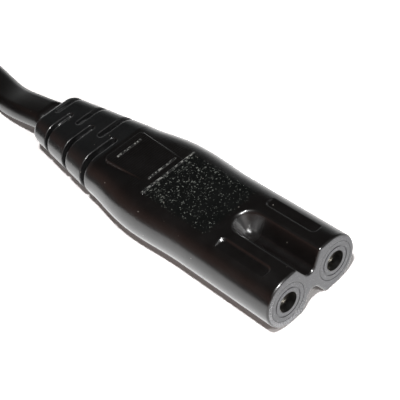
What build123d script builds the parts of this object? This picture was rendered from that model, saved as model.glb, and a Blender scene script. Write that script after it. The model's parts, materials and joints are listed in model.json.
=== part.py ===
from build123d import *

import os
from math import asin, atan2, cos, degrees, pi, radians, sin, sqrt, tan

# A two-pole mains lead: a figure-of-eight appliance connector, a flat two-core cord that is
# wound up for storage, and a slim two-pin plug. All sizes are in millimetres.
# X runs along the connector towards its engagement face, Y runs across it and Z is up.
# The origin is on the surface that the lead lies on, under the middle of the connector.

# Fits between pieces
seat_gap = 0.05

# Connector body, measured back from the engagement face
connector_length = 54.0
connector_width = 15.7
connector_height = 8.0
pole_pitch = 8.6
face_edge_radius = 0.3
straight_length = 17.0
body_sections = ((21.0, 15.98, 8.0), (24.3, 16.4, 8.0), (27.4, 16.5, 7.93), (32.0, 15.6, 7.46))
cut_over = 1.0

# Keying grooves above and below, between the two poles
web_thickness = 2.9
groove_mouth_width = 4.3
groove_root_radius = 1.08
groove_length = 12.7
groove_rim_radius = 0.5

# Shallow recess on top of each lobe
recess_depth = 0.3
recess_front_at = 2.4
recess_back_at = 11.4
recess_inner_edge = 3.6
recess_corner_radius = 0.9
recess_wall_slope = 45.0

# Raised panel behind the shoulder, and the three thin moulded lines
panel_front_at = 24.0
panel_back_at = 36.3
panel_front_width = 6.2
panel_back_width = 7.4
panel_corner_radius = 0.9
panel_edge_break = 0.2
line_width = 0.3
line_height = 0.12
lines_at = ((26.15, 10.0), (27.5, 5.2), (34.6, 4.5))

# Flexible cord guard, of the same form on the connector and on the plug
relief_width = 13.9
relief_height = 6.8
relief_end_width = 9.4
relief_end_height = 5.0
relief_end_radius = 1.2
slot_count = 6
slot_pitch = 2.7
slot_width = 1.3
slot_end_width = 0.95
slot_overlap = 0.6
slot_floor_wall = 0.4
slot_end_land = 1.8
slot_tip_rounding = 0.42
connector_first_slot = 1.3
plug_first_slot = 1.6

# Flat cord: sheath, its two cores and their copper
cord_width = 5.6
cord_thickness = 3.4
core_diameter = 2.1
core_pitch = 2.2
copper_diameter = 1.1

# Contact carrier and contact sleeves of the connector
barrel_radius = 2.8
barrel_length = 18.0
carrier_web_thickness = 1.2
carrier_web_setback = 3.0
entry_ring_radius = 2.1
entry_ring_width = 0.16
entry_ring_depth = 0.1
flange_width = 13.0
flange_height = 5.8
flange_thickness = 2.5
pin_entry_radius = 1.47
entry_length = 1.5
contact_radius = 1.75
contact_bore_radius = 1.2
contact_length = 12.5
contact_back_thickness = 1.0
contact_seam_width = 0.3
contact_neck_radius = 0.9
contact_neck_length = 5.8
crimp_radius = 1.05
crimp_length = 5.0
sheath_end_at = 34.0
copper_bare_length = 0.8
core_straight_length = 1.8
room_side = 0.8
room_rise = 1.3

# Plug
plug_width = 35.3
plug_height = 13.7
plug_flat_width = 26.1
plug_side_height = 4.4
plug_edge_radius = 1.2
plug_face_edge_radius = 0.8
plug_body_length = 26.0
plug_straight_length = 9.0
plug_neck_height = 8.4
plug_neck_width = 14.0
bridge_width = 26.0
bridge_height = 8.4
bridge_depth = 8.0
pin_pitch_base = 18.6
pin_pitch_tip = 17.5
pin_length = 19.0
pin_radius = 2.0
pin_bare_length = 9.0
pin_tip_radius = 1.4
pin_shank_radius = 1.45
pin_collar_radius = 2.7
pin_collar_thickness = 1.5
pin_collar_at = 4.0
pin_tail_length = 12.5
sleeve_radius = 1.8
sleeve_inset = 2.0
plug_sheath_end_at = 24.0
plug_room_side = 1.6
plug_room_rise = 1.5

# Coil of the stored length: turns on edge, in two layers, held by one strap
coil_centre_x = -75.0
coil_centre_y = -30.45
coil_mean_radius = 28.2
coil_columns_span = 13.2
coil_layers = 2
coil_play = 0.1
strap_thickness = 0.6
strap_width = 8.0
strap_corner_radius = 1.5
coil_edge_chamfer = 1.0
entry_angle = 82.0
coil_stub_length = 18.0
exit_angle = 273.0
exit_height = 8.0
tail_length = 20.2
tail_drop_length = 7.0
lead_last_run = 6.9

# Bends of the cord's free stretch between the connector and the coil
lead_bends = [(-33.3, -0.6, 3.4), (-39.4, -0.35, 2.0)]

# Places that follow from the sizes
face_x = connector_length / 2
back_x = -face_x
mid_z = connector_height / 2
coil_outer_turn = coil_mean_radius + coil_columns_span / 2
coil_inner_turn = coil_mean_radius - coil_columns_span / 2
coil_outer_radius = coil_outer_turn + cord_thickness / 2 + coil_play
coil_inner_radius = coil_inner_turn - cord_thickness / 2 - coil_play
layer_pitch = cord_width + 2 * coil_play
coil_bottom = strap_thickness
coil_top = coil_bottom + coil_layers * layer_pitch
plug_mid_z = plug_height / 2
contact_front = face_x - entry_length - seat_gap
neck_front = contact_front - contact_length - contact_back_thickness
crimp_front = neck_front - contact_neck_length
copper_back = crimp_front - crimp_length - copper_bare_length
parting_x = copper_back - core_straight_length
leaving = radians(exit_angle)
exit_heading = Vector(-sin(leaving), cos(leaving), 0)
exit_point = Vector(
    coil_centre_x + coil_outer_turn * cos(leaving),
    coil_centre_y + coil_outer_turn * sin(leaving),
    exit_height,
)
tail_start = exit_point + exit_heading * coil_stub_length
plug_y = (tail_start + exit_heading * tail_length / 2).Y
plug_back_x = tail_start.X + tail_length
slots_length = (slot_count - 1) * slot_pitch + slot_end_land
relief_at = connector_length - connector_first_slot - slots_length
plug_relief_length = plug_first_slot + slots_length
plug_shoulder_x = plug_back_x + plug_relief_length
plug_face_x = plug_shoulder_x + plug_body_length
pin_lean = asin((pin_pitch_base - pin_pitch_tip) / 2 / pin_length)
tail_back = pin_tail_length + copper_bare_length
plug_parting_at = tail_back + core_straight_length


def section_plane(x, y, z):
    """A plane across the lead at x: its own X points to -Y and its Y is up."""
    return Plane(origin=(x, y, z), x_dir=(0, -1, 0), z_dir=(-1, 0, 0))


def guard_size(share):
    """Width and height of the cord guard at a share of its length from the body."""
    width = relief_width + (relief_end_width - relief_width) * share
    height = relief_height + (relief_end_height - relief_height) * share
    return width, height


def guard(start_x, end_x, y, z):
    """The tapered cord guard, with its cord end rounded."""
    with BuildPart() as body:
        with BuildSketch(section_plane(start_x, y, z)):
            SlotOverall(relief_width, relief_height)
        with BuildSketch(section_plane(end_x, y, z)):
            SlotOverall(relief_end_width, relief_end_height)
        loft(ruled=True)
        fillet(body.faces().sort_by(Axis.X)[0].edges(), relief_end_radius)
    return body.part


def guard_slots(start_x, first, y, z):
    """Room of the staggered slots: each goes round one side, down to a wall on the cord."""
    core_width = cord_width + 2 * (seat_gap + slot_floor_wall)
    core_height = cord_thickness + 2 * (seat_gap + slot_floor_wall)
    with BuildPart() as room:
        for index in range(slot_count):
            share = index / (slot_count - 1)
            width = slot_width + (slot_end_width - slot_width) * share
            side = 1 if index % 2 == 0 else -1
            centre = start_x - first - index * slot_pitch
            with BuildPart(mode=Mode.PRIVATE) as slot:
                with BuildSketch(section_plane(centre + width / 2, y, z)):
                    with Locations((side * (relief_width / 2 - slot_overlap), 0)):
                        Rectangle(relief_width, relief_width)
                extrude(amount=width)
                # The end that shows on top and below is rounded
                tips = slot.edges().filter_by(Axis.Z).group_by(Axis.Y)
                fillet(tips[-1] if side > 0 else tips[0], slot_tip_rounding * width)
                with BuildSketch(section_plane(centre + width, y, z)):
                    SlotOverall(core_width, core_height)
                extrude(amount=2 * width, mode=Mode.SUBTRACT)
            add(slot.part)
    return room.part


def groove_outline():
    """Half of the keying groove, from its centre line: round root and flared wall."""
    root = web_thickness / 2
    centre = root + groove_root_radius
    mouth = groove_mouth_width / 2
    top = mid_z
    reach = sqrt(mouth**2 + (top - centre) ** 2)
    turn = atan2(top - centre, mouth) - asin(sqrt(1 - (groove_root_radius / reach) ** 2))
    foot = (groove_root_radius * cos(turn), centre + groove_root_radius * sin(turn))
    half = (turn - pi / 2) / 2
    middle = (groove_root_radius * cos(half), centre + groove_root_radius * sin(half))
    over = (mouth * 1.3, top + mouth * 0.3 * (top - foot[1]) / (mouth - foot[0]))
    return (0, root), middle, foot, over


def raised_panel():
    """The raised panel with its softened edges, from the middle of the body upwards."""
    with BuildPart() as panel:
        with BuildSketch(Plane.XY.offset(mid_z)) as outline:
            with BuildLine():
                Polyline(
                    (face_x - panel_front_at, panel_front_width / 2),
                    (face_x - panel_back_at, panel_back_width / 2),
                    (face_x - panel_back_at, -panel_back_width / 2),
                    (face_x - panel_front_at, -panel_front_width / 2),
                    close=True,
                )
            make_face()
            fillet(outline.vertices(), panel_corner_radius)
        extrude(amount=mid_z)
        chamfer(panel.faces().sort_by(Axis.Z)[-1].edges(), panel_edge_break)
    return panel.part


# Overmould of the connector
with BuildPart() as connector_shell:
    with BuildSketch(section_plane(face_x, 0, mid_z)):
        SlotOverall(connector_width, connector_height)
    extrude(amount=straight_length)
    with BuildSketch(section_plane(face_x - straight_length, 0, mid_z)):
        SlotOverall(connector_width, connector_height)
    for section_at, section_width, section_height in body_sections:
        with BuildSketch(section_plane(face_x - section_at, 0, mid_z)):
            SlotOverall(section_width, section_height)
    with BuildSketch(section_plane(face_x - relief_at, 0, mid_z)):
        SlotOverall(relief_width, relief_height)
    loft()
    add(guard(face_x - relief_at, back_x, 0, mid_z))

    # Raised panel: it carries the flat top on over the falling taper
    add(raised_panel())
    with BuildSketch(Plane.XY.offset(connector_height)):
        for line_at, line_length in lines_at:
            with Locations((face_x - line_at, 0)):
                Rectangle(line_width, line_length)
    extrude(amount=line_height)

    # Keying grooves: a straight run from the face that ends in a round scoop
    start, middle, foot, over = groove_outline()
    scoop_x = face_x - groove_length + groove_mouth_width / 2
    groove_run = face_x - scoop_x + cut_over
    for up in (1, -1):
        with BuildSketch(Plane(origin=(scoop_x, 0, mid_z), x_dir=(0, 1, 0), z_dir=(1, 0, 0))):
            with BuildLine():
                for side in (1, -1):
                    ThreePointArc(
                        (side * start[0], up * start[1]),
                        (side * middle[0], up * middle[1]),
                        (side * foot[0], up * foot[1]),
                    )
                    Line((side * foot[0], up * foot[1]), (side * over[0], up * over[1]))
                Line((over[0], up * over[1]), (-over[0], up * over[1]))
            make_face()
        extrude(amount=groove_run, mode=Mode.SUBTRACT)
        with BuildSketch(Plane(origin=(scoop_x, 0, mid_z), x_dir=(0, 1, 0), z_dir=(1, 0, 0))):
            with BuildLine():
                ThreePointArc(
                    (start[0], up * start[1]), (middle[0], up * middle[1]), (foot[0], up * foot[1])
                )
                Line((foot[0], up * foot[1]), (over[0], up * over[1]))
                Line((over[0], up * over[1]), (0, up * over[1]))
                Line((0, up * over[1]), (0, up * start[1]))
            make_face()
        revolve(axis=Axis((scoop_x, 0, 0), (0, 0, 1)), revolution_arc=360, mode=Mode.SUBTRACT)

    # Rounded rims of the grooves, then the rounded edge of the whole face
    rims = [
        edge
        for edge in connector_shell.edges()
        if abs(abs(edge.center().Z - mid_z) - mid_z) < seat_gap
        and abs(edge.center().Y) < groove_mouth_width / 2 + seat_gap
        and face_x - groove_length - seat_gap < edge.center().X < face_x - seat_gap
    ]
    fillet(rims, groove_rim_radius)
    fillet(connector_shell.faces().sort_by(Axis.X)[-1].edges(), face_edge_radius)

    # Shallow recess on top of each lobe
    with BuildSketch(Plane.XY.offset(connector_height)):
        for side in (1, -1):
            recess_reach = connector_width / 2 - recess_inner_edge
            with Locations(
                (
                    face_x - (recess_front_at + recess_back_at) / 2,
                    side * (recess_inner_edge + recess_reach / 2),
                )
            ):
                recess_run = recess_back_at - recess_front_at
                RectangleRounded(recess_run, recess_reach, recess_corner_radius)
    extrude(amount=-recess_depth, taper=recess_wall_slope, mode=Mode.SUBTRACT)

    slots = guard_slots(face_x - relief_at, connector_first_slot, 0, mid_z)
    add(slots, mode=Mode.SUBTRACT)

    # Seat of the contact carrier
    with BuildSketch(section_plane(face_x, 0, mid_z)):
        with Locations((-pole_pitch / 2, 0), (pole_pitch / 2, 0)):
            Circle(barrel_radius + seat_gap)
    extrude(amount=barrel_length, mode=Mode.SUBTRACT)
    with BuildSketch(section_plane(face_x - carrier_web_setback + seat_gap, 0, mid_z)):
        Rectangle(pole_pitch, carrier_web_thickness + 2 * seat_gap)
    extrude(amount=barrel_length - carrier_web_setback, mode=Mode.SUBTRACT)
    with BuildSketch(section_plane(face_x - barrel_length + seat_gap, 0, mid_z)):
        SlotOverall(flange_width + 2 * seat_gap, flange_height + 2 * seat_gap)
    extrude(amount=flange_thickness + 2 * seat_gap, mode=Mode.SUBTRACT)

    # Room for the crimps and the parting cores, then the channel for the sheath
    room_front = face_x - barrel_length - flange_thickness
    with BuildSketch(section_plane(room_front, 0, mid_z)):
        SlotOverall(pole_pitch + 2 * (crimp_radius + room_side), 2 * (crimp_radius + room_rise))
    extrude(amount=room_front - parting_x, mode=Mode.SUBTRACT)
    with BuildSketch(section_plane(parting_x, 0, mid_z)):
        SlotOverall(pole_pitch + 2 * (crimp_radius + room_side), 2 * (crimp_radius + room_rise))
    with BuildSketch(section_plane(face_x - sheath_end_at, 0, mid_z)):
        SlotOverall(cord_width + 2 * seat_gap, cord_thickness + 2 * seat_gap)
    loft(ruled=True, mode=Mode.SUBTRACT)
    with BuildSketch(section_plane(face_x - sheath_end_at, 0, mid_z)):
        SlotOverall(cord_width + 2 * seat_gap, cord_thickness + 2 * seat_gap)
    extrude(amount=connector_length - sheath_end_at, mode=Mode.SUBTRACT)
connector_shell.part.label = "connector_shell"

# Hard carrier that holds the two contact sleeves
with BuildPart() as contact_carrier:
    with BuildSketch(section_plane(face_x, 0, mid_z)):
        with Locations((-pole_pitch / 2, 0), (pole_pitch / 2, 0)):
            Circle(barrel_radius)
    extrude(amount=barrel_length)
    with BuildSketch(section_plane(face_x - carrier_web_setback, 0, mid_z)):
        Rectangle(pole_pitch, carrier_web_thickness)
    extrude(amount=barrel_length - carrier_web_setback)
    with BuildSketch(section_plane(face_x - barrel_length, 0, mid_z)):
        SlotOverall(flange_width, flange_height)
    extrude(amount=flange_thickness)
    with BuildSketch(section_plane(face_x, 0, mid_z)):
        with Locations((-pole_pitch / 2, 0), (pole_pitch / 2, 0)):
            Circle(pin_entry_radius)
    extrude(amount=entry_length, mode=Mode.SUBTRACT)
    with BuildSketch(section_plane(face_x - entry_length, 0, mid_z)):
        with Locations((-pole_pitch / 2, 0), (pole_pitch / 2, 0)):
            Circle(contact_radius + seat_gap)
    extrude(amount=barrel_length + flange_thickness, mode=Mode.SUBTRACT)
    # Fine ring round each pin entry
    with BuildSketch(section_plane(face_x, 0, mid_z)):
        with Locations((-pole_pitch / 2, 0), (pole_pitch / 2, 0)):
            Circle(entry_ring_radius + entry_ring_width / 2)
            Circle(entry_ring_radius - entry_ring_width / 2, mode=Mode.SUBTRACT)
    extrude(amount=entry_ring_depth, mode=Mode.SUBTRACT)
contact_carrier.part.label = "contact_carrier"

sides = {"left": 1, "right": -1}
contacts = {}
cores = {}
coppers = {}
for name, side in sides.items():
    pole_y = side * pole_pitch / 2

    # Contact sleeve with its seam, its neck and its crimp barrel
    with BuildPart() as contact:
        with BuildSketch(section_plane(contact_front, pole_y, mid_z)):
            Circle(contact_radius)
            Circle(contact_bore_radius, mode=Mode.SUBTRACT)
        extrude(amount=contact_length)
        with BuildSketch(section_plane(contact_front - contact_length, pole_y, mid_z)):
            Circle(contact_radius)
        extrude(amount=contact_back_thickness)
        with BuildSketch(section_plane(neck_front, pole_y, mid_z)):
            Circle(contact_neck_radius)
        extrude(amount=contact_neck_length)
        with BuildSketch(section_plane(crimp_front, pole_y, mid_z)):
            Circle(crimp_radius)
            Circle(copper_diameter / 2 + seat_gap, mode=Mode.SUBTRACT)
        extrude(amount=crimp_length)
        with BuildSketch(section_plane(contact_front, pole_y, mid_z)):
            with Locations((0, contact_radius)):
                Rectangle(contact_seam_width, contact_radius)
        extrude(amount=contact_length, mode=Mode.SUBTRACT)
    contact.part.label = f"contact_{name}"
    contacts[name] = contact

    # Copper of the core, from inside the crimp to the insulation
    with BuildPart() as copper:
        with BuildSketch(section_plane(crimp_front - seat_gap, pole_y, mid_z)):
            Circle(copper_diameter / 2)
        extrude(amount=crimp_front - seat_gap - copper_back)
    copper.part.label = f"connector_copper_{name}"
    coppers[name] = copper

    # Insulated core, parting from the sheath to its pole
    sheath_x = face_x - sheath_end_at
    with BuildPart() as core:
        with BuildLine() as core_path:
            FilletPolyline(
                (copper_back, pole_y, mid_z),
                (parting_x, pole_y, mid_z),
                (sheath_x + core_straight_length, side * core_pitch / 2, mid_z),
                (sheath_x, side * core_pitch / 2, mid_z),
                radius=core_diameter * 0.7,
            )
        with BuildSketch(section_plane(copper_back, pole_y, mid_z)):
            Circle(core_diameter / 2)
        sweep(path=core_path.line)
    core.part.label = f"connector_core_{name}"
    cores[name] = core

# Sheathed end of the cord inside the connector
with BuildPart() as connector_sheath:
    with BuildSketch(section_plane(face_x - sheath_end_at, 0, mid_z)):
        SlotOverall(cord_width, cord_thickness)
    extrude(amount=connector_length - sheath_end_at)
connector_sheath.part.label = "connector_sheath"


def route_radii(points):
    """The arc at each corner: as large as the shorter of its two runs allows."""
    radii = []
    for before, corner, after in zip(points, points[1:], points[2:]):
        first = Vector(*corner) - Vector(*before)
        second = Vector(*after) - Vector(*corner)
        turn = radians(first.get_angle(second))
        radii.append(0.45 * min(first.length, second.length) / tan(turn / 2))
    return radii


# Heading of the cord where it runs into the coil, and the two ends of the coil's stubs
entry = radians(entry_angle)
entry_heading = Vector(-sin(entry), cos(entry), 0)
entry_point = Vector(
    coil_centre_x + coil_outer_turn * cos(entry),
    coil_centre_y + coil_outer_turn * sin(entry),
    cord_thickness / 2,
)
stub_start = entry_point - entry_heading * coil_stub_length
# Free stretch of the cord from the connector to the coil
lead_corner = stub_start - entry_heading * lead_last_run
lead_route = [
    (back_x, 0, mid_z),
    *lead_bends,
    (lead_corner.X, lead_corner.Y, lead_corner.Z),
    (stub_start.X, stub_start.Y, stub_start.Z),
]
lead_heading = (Vector(*lead_route[1]) - Vector(*lead_route[0])).normalized()
lead_inner_end = Vector(*lead_route[0]) - lead_heading * cut_over
with BuildPart() as cord_lead:
    with BuildLine() as lead_path:
        FilletPolyline(lead_inner_end, *lead_route[1:], radius=route_radii(lead_route))
    across = Vector(0, 0, 1).cross(lead_heading)
    with BuildSketch(Plane(origin=lead_inner_end, x_dir=across, z_dir=lead_heading)):
        SlotOverall(cord_width, cord_thickness)
    sweep(path=lead_path.line)
    split(bisect_by=Plane.YZ.offset(back_x), keep=Keep.BOTTOM)
cord_lead.part.label = "cord_lead"

# Free stretch from the coil to the plug
tail_corner = tail_start + exit_heading * (tail_length - tail_drop_length) / 2
tail_route = [
    (tail_start.X, tail_start.Y, tail_start.Z),
    (tail_corner.X, tail_corner.Y, tail_corner.Z),
    (plug_back_x - (tail_length - tail_drop_length) / 2, plug_y, plug_mid_z),
    (plug_back_x, plug_y, plug_mid_z),
]
with BuildPart() as cord_tail:
    with BuildLine() as tail_path:
        FilletPolyline(*tail_route, radius=route_radii(tail_route))
    across = Vector(0, 0, 1).cross(exit_heading)
    with BuildSketch(Plane(origin=tail_start, x_dir=across, z_dir=exit_heading)):
        SlotOverall(cord_width, cord_thickness)
    sweep(path=tail_path.line)
cord_tail.part.label = "cord_tail"

for name, route, path in (("lead", lead_route, lead_path), ("tail", tail_route, tail_path)):
    radii = [round(radius, 1) for radius in route_radii(route)]
    length = sum(edge.length for edge in path.line.edges())
    print(name, "radii", radii, "length", round(length, 1))

# Outer shape of the coil, with a stub for the cord at each end
with BuildPart() as cord_coil:
    with BuildSketch(Plane.XZ.offset(-coil_centre_y)) as cord_coil_section:
        with Locations(
            (
                coil_centre_x + (coil_inner_radius + coil_outer_radius) / 2,
                (coil_bottom + coil_top) / 2,
            )
        ):
            Rectangle(coil_outer_radius - coil_inner_radius, coil_top - coil_bottom)
        chamfer(cord_coil_section.vertices(), coil_edge_chamfer)
    revolve(axis=Axis((coil_centre_x, coil_centre_y, 0), (0, 0, 1)))
    side_way = Vector(0, 0, 1).cross(entry_heading)
    with BuildSketch(Plane(origin=stub_start, x_dir=side_way, z_dir=entry_heading)):
        SlotOverall(cord_width, cord_thickness)
    extrude(amount=coil_stub_length)
    side_way = Vector(0, 0, 1).cross(exit_heading)
    with BuildSketch(Plane(origin=tail_start, x_dir=side_way, z_dir=-exit_heading)):
        SlotOverall(cord_width, cord_thickness)
    extrude(amount=coil_stub_length)
cord_coil.part.label = "cord_coil"

# Strap round the bundle of turns, on the far side of the coil from the connector
with BuildPart() as coil_strap:
    chord = sqrt(coil_inner_radius**2 - (strap_width / 2) ** 2)
    strap_inner = chord - seat_gap
    strap_outer = coil_outer_radius + seat_gap
    room_height = coil_top - coil_bottom + 2 * seat_gap
    strap_x = coil_centre_x - (strap_inner + strap_outer) / 2
    strap_z = (coil_bottom + coil_top) / 2
    room_width = strap_outer - strap_inner
    with BuildSketch(Plane.XZ.offset(-coil_centre_y - strap_width / 2)):
        with Locations((strap_x, strap_z)):
            RectangleRounded(
                room_width + 2 * strap_thickness,
                room_height + 2 * (strap_thickness - seat_gap),
                strap_corner_radius,
            )
            Rectangle(room_width, room_height, mode=Mode.SUBTRACT)
    extrude(amount=strap_width)
coil_strap.part.label = "coil_strap"

# Overmould of the plug
with BuildPart() as plug_shell:
    with BuildSketch(section_plane(plug_face_x, plug_y, plug_mid_z)):
        with BuildLine():
            Polyline(
                (plug_width / 2, plug_side_height / 2),
                (plug_flat_width / 2, plug_height / 2),
                (-plug_flat_width / 2, plug_height / 2),
                (-plug_width / 2, plug_side_height / 2),
                (-plug_width / 2, -plug_side_height / 2),
                (-plug_flat_width / 2, -plug_height / 2),
                (plug_flat_width / 2, -plug_height / 2),
                (plug_width / 2, -plug_side_height / 2),
                close=True,
            )
        make_face()
    extrude(amount=plug_body_length)
    fillet(plug_shell.edges().filter_by(Axis.X), plug_edge_radius)

    # Plan: straight sides that sweep in to the neck
    with BuildSketch(Plane.XY.offset(plug_mid_z)):
        with BuildLine():
            for side in (1, -1):
                corner = (plug_face_x, plug_y + side * plug_width / 2)
                bend = (plug_face_x - plug_straight_length, plug_y + side * plug_width / 2)
                neck = (plug_shoulder_x, plug_y + side * plug_neck_width / 2)
                Line(corner, bend)
                Spline(bend, neck, tangents=((-1, 0), (-1, -side * 0.45)))
            Line(
                (plug_face_x, plug_y + plug_width / 2),
                (plug_face_x, plug_y - plug_width / 2),
            )
            Line(
                (plug_shoulder_x, plug_y + plug_neck_width / 2),
                (plug_shoulder_x, plug_y - plug_neck_width / 2),
            )
        make_face()
    extrude(amount=plug_height, both=True, mode=Mode.INTERSECT)

    # Side: top and bottom close in on the neck
    with BuildSketch(Plane.XZ.offset(-plug_y)):
        with BuildLine():
            for side in (1, -1):
                bend = (plug_face_x - plug_straight_length, plug_mid_z + side * plug_height / 2)
                neck = (plug_shoulder_x, plug_mid_z + side * plug_neck_height / 2)
                Line((plug_face_x, plug_mid_z + side * plug_height / 2), bend)
                Spline(bend, neck, tangents=((-1, 0), (-1, -side * 0.15)))
            Line(
                (plug_face_x, plug_mid_z + plug_height / 2),
                (plug_face_x, plug_mid_z - plug_height / 2),
            )
            Line(
                (plug_shoulder_x, plug_mid_z + plug_neck_height / 2),
                (plug_shoulder_x, plug_mid_z - plug_neck_height / 2),
            )
        make_face()
    extrude(amount=plug_width, both=True, mode=Mode.INTERSECT)

    fillet(plug_shell.faces().sort_by(Axis.X)[-1].edges(), plug_face_edge_radius)

    add(guard(plug_shoulder_x, plug_back_x, plug_y, plug_mid_z))
    slots = guard_slots(plug_shoulder_x, plug_first_slot, plug_y, plug_mid_z)
    add(slots, mode=Mode.SUBTRACT)

    # Seat of the pin bridge, room for the cores, and the channel for the sheath
    with BuildSketch(section_plane(plug_face_x, plug_y, plug_mid_z)):
        SlotOverall(bridge_width + 2 * seat_gap, bridge_height + 2 * seat_gap)
    extrude(amount=bridge_depth + seat_gap, mode=Mode.SUBTRACT)
    plug_room_width = pin_pitch_base + 2 * (crimp_radius + plug_room_side)
    with BuildSketch(section_plane(plug_face_x - bridge_depth, plug_y, plug_mid_z)):
        SlotOverall(plug_room_width, 2 * (crimp_radius + plug_room_rise))
    extrude(amount=plug_parting_at - bridge_depth, mode=Mode.SUBTRACT)
    with BuildSketch(section_plane(plug_face_x - plug_parting_at, plug_y, plug_mid_z)):
        SlotOverall(plug_room_width, 2 * (crimp_radius + plug_room_rise))
    with BuildSketch(section_plane(plug_face_x - plug_sheath_end_at, plug_y, plug_mid_z)):
        SlotOverall(cord_width + 2 * seat_gap, cord_thickness + 2 * seat_gap)
    loft(ruled=True, mode=Mode.SUBTRACT)
    with BuildSketch(section_plane(plug_face_x - plug_sheath_end_at, plug_y, plug_mid_z)):
        SlotOverall(cord_width + 2 * seat_gap, cord_thickness + 2 * seat_gap)
    channel = plug_body_length + plug_relief_length - plug_sheath_end_at
    extrude(amount=channel, mode=Mode.SUBTRACT)
plug_shell.part.label = "plug_shell"

pins = {}
pin_sleeves = {}
plug_cores = {}
plug_coppers = {}
pin_planes = {}
for name, side in sides.items():
    pin_plane = Plane(
        origin=(plug_face_x, plug_y + side * pin_pitch_base / 2, plug_mid_z),
        x_dir=(0, 0, 1),
        z_dir=(cos(pin_lean), -side * sin(pin_lean), 0),
    )
    pin_planes[name] = pin_plane
    low = (Align.CENTER, Align.CENTER, Align.MIN)

    # Solid pin: tip, thinner shank, collar in the bridge and crimp tail
    with BuildPart(pin_plane) as pin:
        with Locations((0, 0, pin_length - pin_bare_length)):
            Cylinder(pin_radius, pin_bare_length, align=low)
        fillet(pin.edges().sort_by(Axis.X)[-1], pin_tip_radius)
        with Locations((0, 0, -pin_collar_at)):
            Cylinder(pin_shank_radius, pin_length - pin_bare_length + pin_collar_at, align=low)
        with Locations((0, 0, -pin_collar_at - pin_collar_thickness)):
            Cylinder(pin_collar_radius, pin_collar_thickness, align=low)
        with Locations((0, 0, -pin_tail_length)):
            tail = pin_tail_length - pin_collar_at - pin_collar_thickness
            Cylinder(crimp_radius, tail, align=low)
            Cylinder(copper_diameter / 2 + seat_gap, crimp_length, align=low, mode=Mode.SUBTRACT)
    pin.part.label = f"pin_{name}"
    pins[name] = pin

    # Insulating sleeve on the pin's root
    with BuildPart(pin_plane) as pin_sleeve:
        with Locations((0, 0, -sleeve_inset)):
            sleeve_length = pin_length - pin_bare_length + sleeve_inset - seat_gap
            Cylinder(sleeve_radius, sleeve_length, align=low)
            Cylinder(pin_shank_radius + seat_gap / 2, sleeve_length, align=low, mode=Mode.SUBTRACT)
    pin_sleeve.part.label = f"pin_sleeve_{name}"
    pin_sleeves[name] = pin_sleeve

    # Copper and insulated core from the pin's crimp to the sheath
    copper_end = pin_plane.from_local_coords((0, 0, -tail_back))
    with BuildPart(pin_plane) as copper:
        with Locations((0, 0, -tail_back)):
            length = copper_bare_length + crimp_length - seat_gap
            Cylinder(copper_diameter / 2, length, align=low)
    copper.part.label = f"plug_copper_{name}"
    plug_coppers[name] = copper
    sheath_x = plug_face_x - plug_sheath_end_at
    with BuildPart() as core:
        with BuildLine() as core_path:
            FilletPolyline(
                (copper_end.X, copper_end.Y, plug_mid_z),
                (copper_end.X - core_straight_length, copper_end.Y, plug_mid_z),
                (sheath_x + core_straight_length, plug_y + side * core_pitch / 2, plug_mid_z),
                (sheath_x, plug_y + side * core_pitch / 2, plug_mid_z),
                radius=core_diameter * 0.7,
            )
        with BuildSketch(section_plane(copper_end.X, copper_end.Y, plug_mid_z)):
            Circle(core_diameter / 2)
        sweep(path=core_path.line)
    core.part.label = f"plug_core_{name}"
    plug_cores[name] = core

# Bridge that holds the two pins at the plug's face
with BuildPart() as pin_bridge:
    with BuildSketch(section_plane(plug_face_x, plug_y, plug_mid_z)):
        SlotOverall(bridge_width, bridge_height)
    extrude(amount=bridge_depth)
    for name in sides:
        with BuildPart(pin_planes[name], mode=Mode.PRIVATE) as seat:
            with Locations((0, 0, -sleeve_inset - seat_gap)):
                Cylinder(sleeve_radius + seat_gap, sleeve_inset + cut_over, align=low)
            with Locations((0, 0, -pin_collar_at - seat_gap)):
                Cylinder(pin_shank_radius + seat_gap, pin_collar_at, align=low)
            with Locations((0, 0, -pin_collar_at - pin_collar_thickness - seat_gap)):
                height = pin_collar_thickness + 2 * seat_gap
                Cylinder(pin_collar_radius + seat_gap, height, align=low)
            with Locations((0, 0, -bridge_depth - cut_over)):
                Cylinder(crimp_radius + seat_gap, bridge_depth, align=low)
        add(seat.part, mode=Mode.SUBTRACT)
pin_bridge.part.label = "pin_bridge"

# Sheathed end of the cord inside the plug
with BuildPart() as plug_sheath:
    with BuildSketch(section_plane(plug_face_x - plug_sheath_end_at, plug_y, plug_mid_z)):
        SlotOverall(cord_width, cord_thickness)
    extrude(amount=plug_body_length + plug_relief_length - plug_sheath_end_at)
plug_sheath.part.label = "plug_sheath"

os.makedirs("parts", exist_ok=True)
pieces = [
    connector_shell,
    contact_carrier,
    connector_sheath,
    cord_lead,
    cord_coil,
    cord_tail,
    coil_strap,
    plug_shell,
    pin_bridge,
    plug_sheath,
]
for group in (contacts, coppers, cores, pins, pin_sleeves, plug_coppers, plug_cores):
    pieces += list(group.values())
for piece in pieces:
    export_step(piece.part, f"parts/{piece.part.label}.step")
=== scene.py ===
import json
import math

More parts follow.
